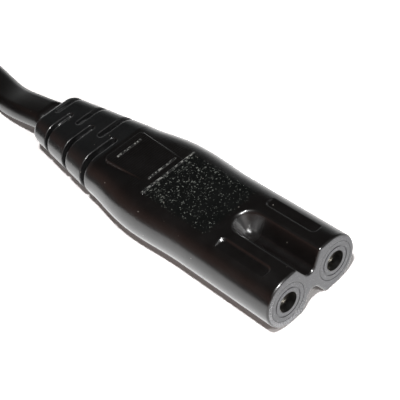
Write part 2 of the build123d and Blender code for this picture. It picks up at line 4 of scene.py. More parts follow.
import bmesh
import bpy
from bpy.props import FloatProperty, FloatVectorProperty, IntProperty, PointerProperty
from bpy.props import StringProperty
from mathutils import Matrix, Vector


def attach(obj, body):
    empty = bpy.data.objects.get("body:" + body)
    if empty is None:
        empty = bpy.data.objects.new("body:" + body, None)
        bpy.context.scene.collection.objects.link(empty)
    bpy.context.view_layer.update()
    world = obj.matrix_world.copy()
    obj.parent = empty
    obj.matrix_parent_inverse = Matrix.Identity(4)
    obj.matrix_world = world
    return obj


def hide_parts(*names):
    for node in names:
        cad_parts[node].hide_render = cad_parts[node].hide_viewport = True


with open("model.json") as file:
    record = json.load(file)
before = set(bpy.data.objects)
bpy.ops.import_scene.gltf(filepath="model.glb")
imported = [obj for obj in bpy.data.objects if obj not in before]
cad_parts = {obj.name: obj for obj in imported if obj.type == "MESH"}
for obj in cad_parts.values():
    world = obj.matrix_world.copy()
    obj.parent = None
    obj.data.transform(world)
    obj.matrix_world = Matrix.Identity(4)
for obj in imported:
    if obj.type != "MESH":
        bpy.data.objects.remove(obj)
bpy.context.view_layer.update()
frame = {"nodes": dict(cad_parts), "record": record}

bl_info = {
    "name": "Power Cord",
    "version": (1, 0, 0),
    "blender": (4, 5, 0),
    "location": "View3D > Sidebar > Power Cord",
    "description": "Finishes a two-pole mains lead: cord, connector, plug, tie and stage",
    "category": "Object",
}

MM = 0.001

# Refractive index of PVC and nylon, and of the film of plasticiser on their skin
PLASTIC_IOR = 1.53
FILM_IOR = 1.6
DUST = "#8E8A84"

# Parts of the connector's skin, as (from, to, softness) in millimetres along each axis.
# A limit that lies off the part leaves its side open.
REGIONS = {
    "connector": {"Y": (-12, 12, 0.1)},
    # From behind the groove to the raised lines, on the top alone
    "grain": {"Z": (7.3, 20, 0.2), "X": (0.6, 13.4, 0.5), "Y": (-4.8, 4.8, 0.35)},
    "panel": {"Y": (-12, 12, 0.1), "Z": (7.88, 20, 0.05), "X": (-9.2, -0.8, 0.1)},
    "face": {"X": (26.9, 40, 0.05)},
    "guard": {"Y": (-12, 12, 0.1), "X": (-60, -10.4, 0.02)},
    "crests": {"Z": (8.09, 8.3, 0.01), "Y": (-9, 9, 0.1)},
    "scoop": {"X": (13.6, 17.6, 0.3), "Y": (-2.6, 2.6, 0.3), "Z": (2, 7.6, 0.2)},
}
# Spacing of the panel's ribs, and the repeat in metres of a wave texture of scale 1
RIB_SPACING = 0.42 * MM
WAVE_REPEAT = 0.314
# Pin entries in the carrier: distance from the middle, height, and radius of the bore painted black
# as shade
POLE_OFFSET = 4.3 * MM
POLE_HEIGHT = 4.0 * MM
ENTRY_RADIUS = 1.5 * MM

# Points round the cord's section
CORD_SIDES = 28
# Lengths over which the cord turns on edge after the connector, and flat again before the plug
EDGE_AFTER, EDGE_ON_OVER = 30 * MM, 45 * MM
FLAT_BEFORE, EDGE_OFF_OVER = 3 * MM, 46 * MM
COIL_CENTRE = (-75.0, -30.45, 0.0)
COIL_START_ANGLE = 82.0
# Route of the cord from the connector to the coil and from the coil to the plug, in millimetres
LEAD_POINTS = (
    (-27.0, 0.0, 4.0),
    (-33.3, -0.6, 3.4),
    (-39.4, -0.35, 2.0),
    (-45.5, 0.55, 1.7),
    (-52.33, 1.51, 1.75),
    (-58.6, 2.4, 2.1),
    (-64.6, 3.24, 2.7),
)
TAIL_POINTS = (
    (-64.0, -64.72, 9.3),
    (-56.5, -64.33, 8.6),
    (-48.6, -63.91, 7.6),
    (-41.6, -63.73, 6.85),
    (-35.0, -63.73, 6.85),
)

# Sewn box on the strap: its sides and height, and the middle seam's place within it
BOX_LEFT, BOX_RIGHT = -109.6 * MM, -96.4 * MM
BOX_NEAR, BOX_FAR = -33.4 * MM, -27.5 * MM
BOX_TOP = 12.83 * MM
SEAM_LEAN = 0.1 * MM
SEAM_INSET = 0.7 * MM

# Light of the room as linear colours: brownish low behind the camera, grey low beyond the
# object, and dark overhead
ROOM_NEAR = (0.17, 0.105, 0.09, 1)
ROOM_FAR = (0.3, 0.31, 0.31, 1)
ROOM_DARK = (0.012, 0.014, 0.014, 1)
# Gain of the paper as the camera alone sees it, per linear channel
PAPER_GAIN = (1.9, 1.84, 1.82)
# Places and widths of the lamps: the key above the camera's side, the flash beside the camera
KEY_AT, KEY_WIDTH = (0.09, -0.055, 0.237), 0.018
FLASH_AT, FLASH_WIDTH, GLINT_WIDTH = (0.155, -0.024, 0.15), 0.02, 0.034
FLOOR_HALF = 1.5


def linear(hex_text, alpha=1.0):
    """An sRGB hex colour as the linear values that a shader takes."""
    channels = [int(hex_text[i : i + 2], 16) / 255 for i in (1, 3, 5)]
    values = [c / 12.92 if c <= 0.04045 else ((c + 0.055) / 1.055) ** 2.4 for c in channels]
    return (*values, alpha)


def smoothstep(value):
    """A soft step from 0 to 1."""
    value = min(max(value, 0.0), 1.0)
    return value * value * (3 - 2 * value)


def add_node(tree, kind, values=None, links=None, **settings):
    """Adds a node with its settings, socket values and incoming links."""
    node = tree.nodes.new(kind)
    for name, value in settings.items():
        setattr(node, name, value)
    for socket, value in (values or {}).items():
        node.inputs[socket].default_value = value
    for socket, source in (links or {}).items():
        tree.links.new(source, node.inputs[socket])
    return node


def new_material(name):
    """An empty node material, and its tree to fill."""
    material = bpy.data.materials.new(name)
    material.use_nodes = True
    tree = material.node_tree
    tree.nodes.clear()
    return material, tree


def mesh_object(name, points, faces, material):
    """A mesh object at the origin, shaded smooth."""
    mesh = bpy.data.meshes.new(name)
    mesh.from_pydata([tuple(p) for p in points], [], faces)
    mesh.validate()
    obj = bpy.data.objects.new(name, mesh)
    bpy.context.scene.collection.objects.link(obj)
    mesh.materials.append(material)
    for face in mesh.polygons:
        face.use_smooth = True
    return obj


def dress(node, material):
    """Gives a CAD node its finish."""
    obj = frame["nodes"][node]
    obj.data.materials.clear()
    obj.data.materials.append(material)


class CordSettings(bpy.types.PropertyGroup):
    width: FloatProperty(
        name="Width", description="Width of the flat cord", default=5.6 * MM, unit="LENGTH"
    )
    thickness: FloatProperty(
        name="Thickness", description="Thickness of the flat cord", default=3.4 * MM, unit="LENGTH"
    )
    length: FloatProperty(
        name="Length",
        description="Free length from moulding to moulding",
        default=1.44,
        unit="LENGTH",
    )
    coil_radius: FloatProperty(
        name="Coil radius",
        description="Radius of the outermost turn's centreline",
        default=34.8 * MM,
        unit="LENGTH",
    )
    coil_core: FloatProperty(
        name="Core radius",
        description="Radius of the innermost turn's centreline",
        default=21.6 * MM,
        unit="LENGTH",
    )
    turns: FloatProperty(name="Turns", description="Turns in the coil", default=7.5306)
    points_per_turn: IntProperty(
        name="Points per turn", description="Control points in each turn", default=24, min=12
    )
    colour: StringProperty(
        name="Colour", description="Sheath colour, sRGB hex", default="#100C0B"
    )


class MouldingSettings(bpy.types.PropertyGroup):
    colour: StringProperty(
        name="Colour", description="Moulding colour, sRGB hex", default="#0E0A09"
    )
    grain_colour: StringProperty(
        name="Grain colour", description="Colour of the grained area, sRGB hex", default="#0B0C0B"
    )
    # Painted glints: this pale colour stands in for light caught by the grain's tiny facets
    fleck_glint_colour: StringProperty(
        name="Fleck colour",
        description="Colour of the grain's raised flecks, sRGB hex",
        default="#8A8E87",
    )
    grain_size: FloatProperty(
        name="Grain size",
        description="Spacing of the grain",
        default=0.29 * MM,
        unit="LENGTH",
    )
    roughness: FloatProperty(
        name="Roughness",
        description="Roughness of the satin moulding",
        default=0.34,
        min=0,
        max=1,
    )


class TieSettings(bpy.types.PropertyGroup):
    colour: StringProperty(
        name="Colour", description="Strap colour, sRGB hex", default="#232326"
    )
    thread: StringProperty(
        name="Thread", description="Sewing thread colour, sRGB hex", default="#9A9AA0"
    )
    weave: FloatProperty(
        name="Weave",
        description="Spacing of the strap's threads",
        default=0.62 * MM,
        unit="LENGTH",
    )
    pitch: FloatProperty(
        name="Stitch pitch",
        description="Distance from stitch to stitch",
        default=1.3 * MM,
        unit="LENGTH",
    )
    stitch: FloatProperty(
        name="Stitch length", description="Length of one stitch", default=1.05 * MM, unit="LENGTH"
    )
    thickness: FloatProperty(
        name="Thread thickness",
        description="Thickness of the sewing thread",
        default=0.3 * MM,
        unit="LENGTH",
    )
    seed: IntProperty(name="Seed", description="Seed of the stitches' unevenness", default=7)


class MetalSettings(bpy.types.PropertyGroup):
    tin: StringProperty(
        name="Tin", description="Colour of the tinned contacts, sRGB hex", default="#D9D3C4"
    )
    nickel: StringProperty(
        name="Nickel", description="Colour of the plated pins, sRGB hex", default="#D8D2C6"
    )
    copper: StringProperty(
        name="Copper", description="Colour of the bare strands, sRGB hex", default="#C67E55"
    )


class StageSettings(bpy.types.PropertyGroup):
    floor: StringProperty(name="Floor", description="Floor colour, sRGB hex", default="#F4F2F0")
    lens: FloatProperty(
        name="Lens", description="Focal length of the camera", default=96.13, unit="CAMERA"
    )
    camera_at: FloatVectorProperty(
        name="Camera",
        description="Place of the camera",
        default=(0.094586, -0.056764, 0.104745),
        unit="LENGTH",
    )
    camera_turn: FloatVectorProperty(
        name="Turn",
        description="Turn of the camera",
        default=(0.798883, 0.183369, 0.820920),
        subtype="EULER",
    )
    key_power: FloatProperty(
        name="Key", description="Power of the main lamp above", default=0.42, unit="POWER"
    )
    flash_power: FloatProperty(
        name="Flash",
        description="Power of the small lamp beside the camera",
        default=0.07,
        unit="POWER",
    )
    glint_power: FloatProperty(
        name="Glint",
        description="Power of the same lamp's mirrored glints",
        default=0.38,
        unit="POWER",
    )
    glow: FloatProperty(
        name="Floor glow", description="How bright the floor shows in reflections", default=1.2
    )


def region(tree, axes, limits):
    """A mask that is 1 within soft-edged limits along the axes and 0 outside them."""
    mask = None
    for axis, (low, high, soft) in limits.items():
        for limit, before, after in ((low, 0.0, 1.0), (high, 1.0, 0.0)):
            values = {
                "From Min": (limit - soft) * MM,
                "From Max": (limit + soft) * MM,
                "To Min": before,
                "To Max": after,
            }
            step = add_node(
                tree,
                "ShaderNodeMapRange",
                values,
                {"Value": axes.outputs[axis]},
                interpolation_type="SMOOTHSTEP",
            ).outputs[0]
            if mask is not None:
                links = {0: mask, 1: step}
                step = add_node(
                    tree, "ShaderNodeMath", links=links, operation="MULTIPLY"
                ).outputs[0]
            mask = step
    return mask


def moulding_material(settings):
    """Soft black PVC, injection moulded: satin, with a grain that bears painted glints, crests with
    painted highlights, and an end face painted grey as a reflection of the paper, with pale specks.
    """
    material, tree = new_material("moulded_soft_pvc")
    place = add_node(tree, "ShaderNodeTexCoord").outputs["Object"]
    axes = add_node(tree, "ShaderNodeSeparateXYZ", links={"Vector": place})
    geometry = add_node(tree, "ShaderNodeNewGeometry")
    normal = add_node(tree, "ShaderNodeSeparateXYZ", links={"Vector": geometry.outputs["Normal"]})
    mask = {name: region(tree, axes, limits) for name, limits in REGIONS.items()}

    patterns = {
        "grain": (settings.grain_size, 3.0, 0.62),
        # Tool marks and handling leave broad, faint cloudiness
        "cloud": (2.6 * MM, 4.0, 0.6),
        # Fine orange peel of the mould's eroded surface
        "peel": (0.28 * MM, 2.0, 0.5),
        "crest_glint": (0.42 * MM, 2.0, 0.5),
        "face_specks": (0.2 * MM, 3.0, 0.65),
    }
    noise = {}
    for name, (size, detail, roughness) in patterns.items():
        values = {"Scale": 1 / size, "Detail": detail, "Roughness": roughness}
        noise[name] = add_node(tree, "ShaderNodeTexNoise", values, {"Vector": place}).outputs["Fac"]

    # Grain on the top, and the end face's painted reflection and specks, keep to the faces that
    # look that way
    for name, axis, low, high in (("grain", "Z", 0.8, 0.95), ("face", "X", 0.9, 0.99)):
        facing = add_node(
            tree,
            "ShaderNodeMapRange",
            {"From Min": low, "From Max": high},
            {"Value": normal.outputs[axis]},
        )
        mask[name] = add_node(
            tree,
            "ShaderNodeMath",
            links={0: facing.outputs[0], 1: mask[name]},
            operation="MULTIPLY",
        ).outputs[0]

    # Painted glints: pale flecks stand in for light caught by the grain's facets, and crowd towards
    # the rear of the grain
    density = add_node(
        tree,
        "ShaderNodeMapRange",
        {"From Min": 13 * MM, "From Max": 4 * MM, "To Min": 0.035, "To Max": 0.07},
        {"Value": axes.outputs["X"]},
    )
    crowd = add_node(
        tree,
        "ShaderNodeMath",
        links={0: noise["grain"], 1: density.outputs[0]},
        operation="ADD",
    )
    fleck_glint = add_node(
        tree,
        "ShaderNodeMapRange",
        {"From Min": 0.665, "From Max": 0.73},
        {"Value": crowd.outputs[0]},
    )
    # Painted highlight: the crests of the three thin lines are paler in places, standing in for the
    # light they catch
    crest_glint = add_node(
        tree,
        "ShaderNodeMapRange",
        {"From Min": 0.47, "From Max": 0.58, "To Min": 0.02},
        {"Value": noise["crest_glint"]},
    )
    # The raised panel is finely ribbed across
    ribs = add_node(
        tree,
        "ShaderNodeTexWave",
        {"Scale": WAVE_REPEAT / RIB_SPACING, "Distortion": 1.2, "Detail": 2.0, "Detail Scale": 1.5},
        {"Vector": place},
        bands_direction="X",
    )
    limited = {}
    for name, source, where in (
        ("fleck_glint", fleck_glint.outputs[0], mask["grain"]),
        ("crest_glint", crest_glint.outputs[0], mask["crests"]),
        ("grain", noise["grain"], mask["grain"]),
        ("ribs", ribs.outputs["Fac"], mask["panel"]),
    ):
        limited[name] = add_node(
            tree, "ShaderNodeMath", links={0: source, 1: where}, operation="MULTIPLY"
        ).outputs[0]

    # Painted reflection: the end face is grey for the paper it mirrors, with pale specks that grow
    # towards its near lower corner
    lower = add_node(
        tree,
        "ShaderNodeMath",
        links={0: axes.outputs["Y"], 1: axes.outputs["Z"]},
        operation="ADD",
    )
    corner = add_node(
        tree,
        "ShaderNodeMapRange",
        {"From Min": 2.0 * MM, "From Max": -5.5 * MM, "To Min": 0.0, "To Max": 0.27},
        {"Value": lower.outputs[0]},
    )
    face_specks = add_node(
        tree,
        "ShaderNodeMath",
        links={0: noise["face_specks"], 1: corner.outputs[0]},
        operation="ADD",
    )
    face_specks = add_node(
        tree,
        "ShaderNodeMapRange",
        {"From Min": 0.58, "From Max": 0.78},
        {"Value": face_specks.outputs[0]},
    )
    # Painted reflection: grey face colour, mixed to pale where the specks fall
    face_reflection_and_specks = add_node(
        tree,
        "ShaderNodeMix",
        {"A": linear("#424247"), "B": linear("#A8A8AC")},
        {"Factor": face_specks.outputs[0]},
        data_type="RGBA",
    ).outputs["Result"]
    # Stray dust
    values = {"Scale": 1 / (1.9 * MM), "Randomness": 1.0}
    dust = add_node(tree, "ShaderNodeTexVoronoi", values, {"Vector": place})
    speck = add_node(
        tree,
        "ShaderNodeMapRange",
        {"From Min": 0.055, "From Max": 0.035},
        {"Value": dust.outputs["Distance"]},
    )

    base = add_node(
        tree,
        "ShaderNodeMix",
        {"A": linear(settings.colour), "B": linear(settings.grain_colour)},
        {"Factor": mask["grain"]},
        data_type="RGBA",
    ).outputs["Result"]
    # Painted light in these mixes: the end face's grey stands for the paper it mirrors, the crests'
    # pale colour for their highlights and the flecks for the grain's glints; the dust is real
    for where, colour in (
        (mask["guard"], "#0E0E0F"),
        (mask["face"], face_reflection_and_specks),
        (limited["crest_glint"], "#A2A39E"),
        (limited["fleck_glint"], settings.fleck_glint_colour),
        (speck.outputs[0], DUST),
    ):
        values, links = {}, {"Factor": where, "A": base}
        if isinstance(colour, str):
            values["B"] = linear(colour)
        else:
            links["B"] = colour
        base = add_node(tree, "ShaderNodeMix", values, links, data_type="RGBA").outputs["Result"]

    rough = add_node(
        tree,
        "ShaderNodeMapRange",
        {
            "From Min": 0.3,
            "From Max": 0.7,
            "To Min": settings.roughness - 0.05,
            "To Max": settings.roughness + 0.07,
        },
        {"Value": noise["cloud"]},
    ).outputs[0]
    for where, change in ((mask["grain"], -0.02), (mask["guard"], 0.1)):
        rough = add_node(
            tree,
            "ShaderNodeMath",
            {1: change},
            {0: where, 2: rough},
            operation="MULTIPLY_ADD",
        ).outputs[0]
    # The plug's mould is eroded more coarsely than the connector's, so its skin is duller
    duller = add_node(
        tree, "ShaderNodeMapRange", {"To Min": 0.14, "To Max": 0.0}, {"Value": mask["connector"]}
    )
    rough = add_node(
        tree, "ShaderNodeMath", links={0: rough, 1: duller.outputs[0]}, operation="ADD"
    )
    coat = add_node(
        tree, "ShaderNodeMapRange", {"To Min": 0.25, "To Max": 1.0}, {"Value": mask["connector"]}
    )
    # The scoop's end was polished by hand in the mould, which spreads its glint
    coat_rough = add_node(
        tree, "ShaderNodeMapRange", {"To Min": 0.2, "To Max": 0.36}, {"Value": mask["scoop"]}
    )
    # Moulded edges are never sharp
    rounding = add_node(
        tree,
        "ShaderNodeMapRange",
        {"To Min": 0.22 * MM, "To Max": 0.34 * MM},
        {"Value": mask["guard"]},
    )
    skin = add_node(tree, "ShaderNodeBevel", links={"Radius": rounding.outputs[0]}, samples=8)
    for height, strength, depth in (
        (noise["peel"], 0.25, 0.02 * MM),
        (limited["grain"], 0.6, 0.06 * MM),
        (limited["ribs"], 0.5, 0.03 * MM),
    ):
        skin = add_node(
            tree,
            "ShaderNodeBump",
            {"Strength": strength, "Distance": depth},
            {"Height": height, "Normal": skin.outputs["Normal"]},
        )
    # A film of plasticiser on the skin makes it shine more at a flat angle than bare PVC does.
    # Its roughness outside the scoop also stands on the socket, for an export without the link.
    shader = add_node(
        tree,
        "ShaderNodeBsdfPrincipled",
        {"IOR": PLASTIC_IOR, "Coat IOR": FILM_IOR, "Coat Roughness": 0.2},
        {
            "Base Color": base,
            "Roughness": rough.outputs[0],
            "Coat Weight": coat.outputs[0],
            "Coat Roughness": coat_rough.outputs[0],
            "Normal": skin.outputs["Normal"],
            "Coat Normal": skin.outputs["Normal"],
        },
    )
    add_node(tree, "ShaderNodeOutputMaterial", links={"Surface": shader.outputs["BSDF"]})
    return material


def plain_material(
    name, colour, roughness, metallic=0.0, peel_size=0.3 * MM, peel_depth=0.01 * MM, ior=None
):
    """A solid finish with a fine bump and slight unevenness of its gloss."""
    material, tree = new_material(name)
    place = add_node(tree, "ShaderNodeTexCoord").outputs["Object"]
    values = {"Scale": 1 / peel_size, "Detail": 3.0}
    peel = add_node(tree, "ShaderNodeTexNoise", values, {"Vector": place}).outputs["Fac"]
    rough = add_node(
        tree,
        "ShaderNodeMapRange",
        {
            "From Min": 0.3,
            "From Max": 0.7,
            "To Min": roughness * 0.85,
            "To Max": roughness * 1.15,
        },
        {"Value": peel},
    )
    bump = add_node(
        tree, "ShaderNodeBump", {"Strength": 0.4, "Distance": peel_depth}, {"Height": peel}
    )
    values = {"Base Color": linear(colour), "Metallic": metallic}
    if ior:
        values["IOR"] = ior
    links = {"Roughness": rough.outputs[0], "Normal": bump.outputs["Normal"]}
    shader = add_node(tree, "ShaderNodeBsdfPrincipled", values, links)
    add_node(tree, "ShaderNodeOutputMaterial", links={"Surface": shader.outputs["BSDF"]})
    return material


def carrier_material():
    """Hard nylon, injection moulded: grey on the face as a painted reflection of the paper, with
    pale specks, and black down the pin entries as painted shade.
    """
    material, tree = new_material("moulded_nylon")
    place = add_node(tree, "ShaderNodeTexCoord").outputs["Object"]
    axes = add_node(tree, "ShaderNodeSeparateXYZ", links={"Vector": place})
    # Distance from the nearer pin entry's axis
    aside = add_node(
        tree, "ShaderNodeMath", links={0: axes.outputs["Y"]}, operation="ABSOLUTE"
    )
    aside = add_node(
        tree, "ShaderNodeMath", {1: POLE_OFFSET}, {0: aside.outputs[0]}, operation="SUBTRACT"
    )
    height = add_node(
        tree, "ShaderNodeMath", {1: POLE_HEIGHT}, {0: axes.outputs["Z"]}, operation="SUBTRACT"
    )
    spot = add_node(
        tree, "ShaderNodeCombineXYZ", links={"X": aside.outputs[0], "Y": height.outputs[0]}
    )
    reach = add_node(tree, "ShaderNodeVectorMath", links={0: spot.outputs[0]}, operation="LENGTH")
    # Painted shade inside the pin entries, and a painted reflection as grey beyond them
    beyond_entry = add_node(
        tree,
        "ShaderNodeMapRange",
        {"From Min": ENTRY_RADIUS, "From Max": ENTRY_RADIUS + 0.06 * MM},
        {"Value": reach.outputs["Value"]},
    )
    values = {"Scale": 1 / (0.22 * MM), "Detail": 3.0}
    speckle = add_node(tree, "ShaderNodeTexNoise", values, {"Vector": place}).outputs["Fac"]
    pale = add_node(
        tree, "ShaderNodeMapRange", {"From Min": 0.55, "From Max": 0.7}, {"Value": speckle}
    )
    grey = add_node(
        tree,
        "ShaderNodeMix",
        {"A": linear("#424247"), "B": linear("#77777C")},
        {"Factor": pale.outputs[0]},
        data_type="RGBA",
    )
    base = add_node(
        tree,
        "ShaderNodeMix",
        {"A": linear("#070606")},
        {"Factor": beyond_entry.outputs[0], "B": grey.outputs["Result"]},
        data_type="RGBA",
    )
    bump = add_node(
        tree, "ShaderNodeBump", {"Strength": 0.3, "Distance": 0.02 * MM}, {"Height": speckle}
    )
    shader = add_node(
        tree,
        "ShaderNodeBsdfPrincipled",
        {
            "Roughness": 0.36,
            "IOR": PLASTIC_IOR,
            "Coat Weight": 1.0,
            "Coat Roughness": 0.3,
            "Coat IOR": FILM_IOR,
        },
        {"Base Color": base.outputs["Result"], "Normal": bump.outputs["Normal"]},
    )
    add_node(tree, "ShaderNodeOutputMaterial", links={"Surface": shader.outputs["BSDF"]})
    return material


def sheath_material(settings):
    """Soft black PVC, extruded: smoother than the mouldings, with faint die lines along it."""
    material, tree = new_material("extruded_soft_pvc")
    place = add_node(tree, "ShaderNodeTexCoord")
    # The UV map runs in metres along the cord and once round it
    along = add_node(
        tree, "ShaderNodeMapping", {"Scale": (60.0, 40.0, 1.0)}, {"Vector": place.outputs["UV"]}
    )
    lines = add_node(
        tree,
        "ShaderNodeTexNoise",
        {"Scale": 1.0, "Detail": 4.0, "Roughness": 0.6},
        {"Vector": along.outputs["Vector"]},
    )
    peel = add_node(
        tree,
        "ShaderNodeTexNoise",
        {"Scale": 1 / (0.5 * MM), "Detail": 2.0},
        {"Vector": place.outputs["Object"]},
    )
    dust = add_node(
        tree,
        "ShaderNodeTexVoronoi",
        {"Scale": 1 / (2.2 * MM), "Randomness": 1.0},
        {"Vector": place.outputs["Object"]},
    )
    speck = add_node(
        tree,
        "ShaderNodeMapRange",
        {"From Min": 0.05, "From Max": 0.03},
        {"Value": dust.outputs["Distance"]},
    )
    base = add_node(
        tree,
        "ShaderNodeMix",
        {"A": linear(settings.colour), "B": linear(DUST)},
        {"Factor": speck.outputs[0]},
        data_type="RGBA",
    )
    rough = add_node(
        tree,
        "ShaderNodeMapRange",
        {"From Min": 0.3, "From Max": 0.7, "To Min": 0.3, "To Max": 0.42},
        {"Value": lines.outputs["Fac"]},
    )
    skin = add_node(
        tree,
        "ShaderNodeBump",
        {"Strength": 0.5, "Distance": 0.02 * MM},
        {"Height": lines.outputs["Fac"]},
    )
    skin = add_node(
        tree,
        "ShaderNodeBump",
        {"Strength": 0.3, "Distance": 0.02 * MM},
        {"Height": peel.outputs["Fac"], "Normal": skin.outputs["Normal"]},
    )
    shader = add_node(
        tree,
        "ShaderNodeBsdfPrincipled",
        {"IOR": PLASTIC_IOR, "Coat Weight": 0.35, "Coat Roughness": 0.24, "Coat IOR": FILM_IOR},
        {
            "Base Color": base.outputs["Result"],
            "Roughness": rough.outputs[0],
            "Normal": skin.outputs["Normal"],
            "Coat Normal": skin.outputs["Normal"],
        },
    )
    add_node(tree, "ShaderNodeOutputMaterial", links={"Surface": shader.outputs["BSDF"]})
    return material


def weave_material(settings):
    """Nylon webbing, plain woven: matt, with threads that pass over and under each other."""
    material, tree = new_material("woven_nylon_webbing")
    place = add_node(tree, "ShaderNodeTexCoord").outputs["Object"]
    axes = add_node(tree, "ShaderNodeSeparateXYZ", links={"Vector": place})
    # The strap runs along x above and below the coil and along z at its sides
    run = add_node(
        tree,
        "ShaderNodeMath",
        links={0: axes.outputs["X"], 1: axes.outputs["Z"]},
        operation="ADD",
    )
    waves = []
    for source in (run.outputs[0], axes.outputs["Y"]):
        phase = add_node(
            tree, "ShaderNodeMath", {1: math.pi / settings.weave}, {0: source}, operation="MULTIPLY"
        )
        wave = add_node(tree, "ShaderNodeMath", links={0: phase.outputs[0]}, operation="SINE")
        waves.append(wave.outputs[0])
    over = add_node(tree, "ShaderNodeMath", links=dict(enumerate(waves)), operation="MULTIPLY")
    lift = add_node(
        tree, "ShaderNodeMath", links={0: over.outputs[0]}, operation="ABSOLUTE"
    ).outputs[0]
    values = {"Scale": 1 / (0.12 * MM), "Detail": 3.0}
    lint = add_node(tree, "ShaderNodeTexNoise", values, {"Vector": place}).outputs["Fac"]
    values = {"Scale": 1 / (3.0 * MM), "Detail": 2.0}
    worn = add_node(tree, "ShaderNodeTexNoise", values, {"Vector": place}).outputs["Fac"]
    # Painted shade: the gaps between threads are darkened and their crowns kept paler
    shade = add_node(tree, "ShaderNodeMath", links={0: lift, 1: lint}, operation="MULTIPLY")
    crown = add_node(
        tree, "ShaderNodeMapRange", {"From Max": 0.35}, {"Value": shade.outputs[0]}
    )
    colour = add_node(
        tree,
        "ShaderNodeMix",
        {"A": linear("#08080A"), "B": linear(settings.colour)},
        {"Factor": crown.outputs[0]},
        data_type="RGBA",
    )
    rough = add_node(
        tree,
        "ShaderNodeMapRange",
        {"From Min": 0.3, "From Max": 0.7, "To Min": 0.62, "To Max": 0.8},
        {"Value": worn},
    )
    skin = add_node(
        tree, "ShaderNodeBump", {"Strength": 0.8, "Distance": 0.12 * MM}, {"Height": lift}
    )
    skin = add_node(
        tree,
        "ShaderNodeBump",
        {"Strength": 0.4, "Distance": 0.03 * MM},
        {"Height": lint, "Normal": skin.outputs["Normal"]},
    )
    shader = add_node(
        tree,
        "ShaderNodeBsdfPrincipled",
        {"IOR": PLASTIC_IOR, "Sheen Weight": 0.3, "Sheen Roughness": 0.4},
        {
            "Base Color": colour.outputs["Result"],
            "Roughness": rough.outputs[0],
            "Normal": skin.outputs["Normal"],
        },
    )
    add_node(tree, "ShaderNodeOutputMaterial", links={"Surface": shader.outputs["BSDF"]})
    return material


def paper_material(settings):
    """White paper sweep, uncoated: matt, and white out to the picture's edges."""
    material, tree = new_material("white_paper")
    rays = add_node(tree, "ShaderNodeLightPath")
    matt = add_node(tree, "ShaderNodeBsdfDiffuse", {"Color": linear(settings.floor)})
    # The camera sees the paper lifted to white, more so where the lamps reach less
    place = add_node(tree, "ShaderNodeTexCoord").outputs["Object"]
    reach = add_node(tree, "ShaderNodeVectorMath", links={0: place}, operation="LENGTH")
    gain = add_node(
        tree,
        "ShaderNodeMapRange",
        {"From Min": 0.035, "From Max": 0.14, "To Min": 1.0, "To Max": 2.9},
        {"Value": reach.outputs["Value"]},
    )
    paper = add_node(
        tree, "ShaderNodeVectorMath", {0: PAPER_GAIN}, {"Scale": gain.outputs[0]}, operation="SCALE"
    )
    seen = add_node(tree, "ShaderNodeBsdfDiffuse", links={"Color": paper.outputs["Vector"]})
    # In reflections the sweep is brightest in front of the object and falls off beyond it
    axes = add_node(tree, "ShaderNodeSeparateXYZ", links={"Vector": place})
    level = add_node(
        tree,
        "ShaderNodeMapRange",
        {
            "From Min": 0.0,
            "From Max": 0.05,
            "To Min": settings.glow,
            "To Max": 0.5 * settings.glow,
        },
        {"Value": axes.outputs["Y"]},
    )
    glow = add_node(
        tree, "ShaderNodeEmission", {"Color": (1, 1, 1, 1)}, {"Strength": level.outputs[0]}
    )
    mirrored = add_node(
        tree,
        "ShaderNodeMath",
        links={0: rays.outputs["Is Glossy Ray"], 1: rays.outputs["Is Transmission Ray"]},
        operation="MAXIMUM",
    )
    direct = add_node(
        tree,
        "ShaderNodeMixShader",
        links={0: rays.outputs["Is Camera Ray"], 1: matt.outputs[0], 2: seen.outputs[0]},
    )
    surface = add_node(
        tree,
        "ShaderNodeMixShader",
        links={0: mirrored.outputs[0], 1: direct.outputs[0], 2: glow.outputs[0]},
    )
    add_node(tree, "ShaderNodeOutputMaterial", links={"Surface": surface.outputs[0]})
    return material


def stitch_tree():
    """A node tree that lays a stitch at each step along a seam."""
    tree = bpy.data.node_groups.new("seam_stitches", "GeometryNodeTree")
    sockets = (
        ("Seam", "NodeSocketGeometry"),
        ("Pitch", "NodeSocketFloat"),
        ("Stitch Length", "NodeSocketFloat"),
        ("Thread Thickness", "NodeSocketFloat"),
        ("Seed", "NodeSocketInt"),
        ("Material", "NodeSocketMaterial"),
    )
    for name, kind in sockets:
        tree.interface.new_socket(name, in_out="INPUT", socket_type=kind)
    tree.interface.new_socket("Stitches", in_out="OUTPUT", socket_type="NodeSocketGeometry")
    given = add_node(tree, "NodeGroupInput").outputs
    seam = add_node(tree, "GeometryNodeMeshToCurve", links={"Mesh": given["Seam"]})
    steps = add_node(
        tree,
        "GeometryNodeCurveToPoints",
        links={"Curve": seam.outputs[0], "Length": given["Pitch"]},
        mode="LENGTH",
    )
    thread = given["Thread Thickness"]
    size = add_node(
        tree,
        "ShaderNodeCombineXYZ",
        links={"X": thread, "Y": thread, "Z": given["Stitch Length"]},
    )
    bead = add_node(
        tree, "GeometryNodeMeshUVSphere", {"Segments": 10, "Rings": 8, "Radius": 0.5}
    )
    bead = add_node(
        tree,
        "GeometryNodeTransform",
        links={"Geometry": bead.outputs["Mesh"], "Scale": size.outputs[0]},
    )
    uneven = add_node(
        tree,
        "FunctionNodeRandomValue",
        {2: 0.9, 3: 1.0},
        {"Seed": given["Seed"]},
        data_type="FLOAT",
    )
    laid = add_node(
        tree,
        "GeometryNodeInstanceOnPoints",
        links={
            "Points": steps.outputs["Points"],
            "Instance": bead.outputs[0],
            "Rotation": steps.outputs["Rotation"],
            "Scale": uneven.outputs[1],
        },
    )
    real = add_node(tree, "GeometryNodeRealizeInstances", links={"Geometry": laid.outputs[0]})
    done = add_node(
        tree,
        "GeometryNodeSetMaterial",
        links={"Geometry": real.outputs[0], "Material": given["Material"]},
    )
    add_node(tree, "NodeGroupOutput", links={"Stitches": done.outputs[0]})
    return tree


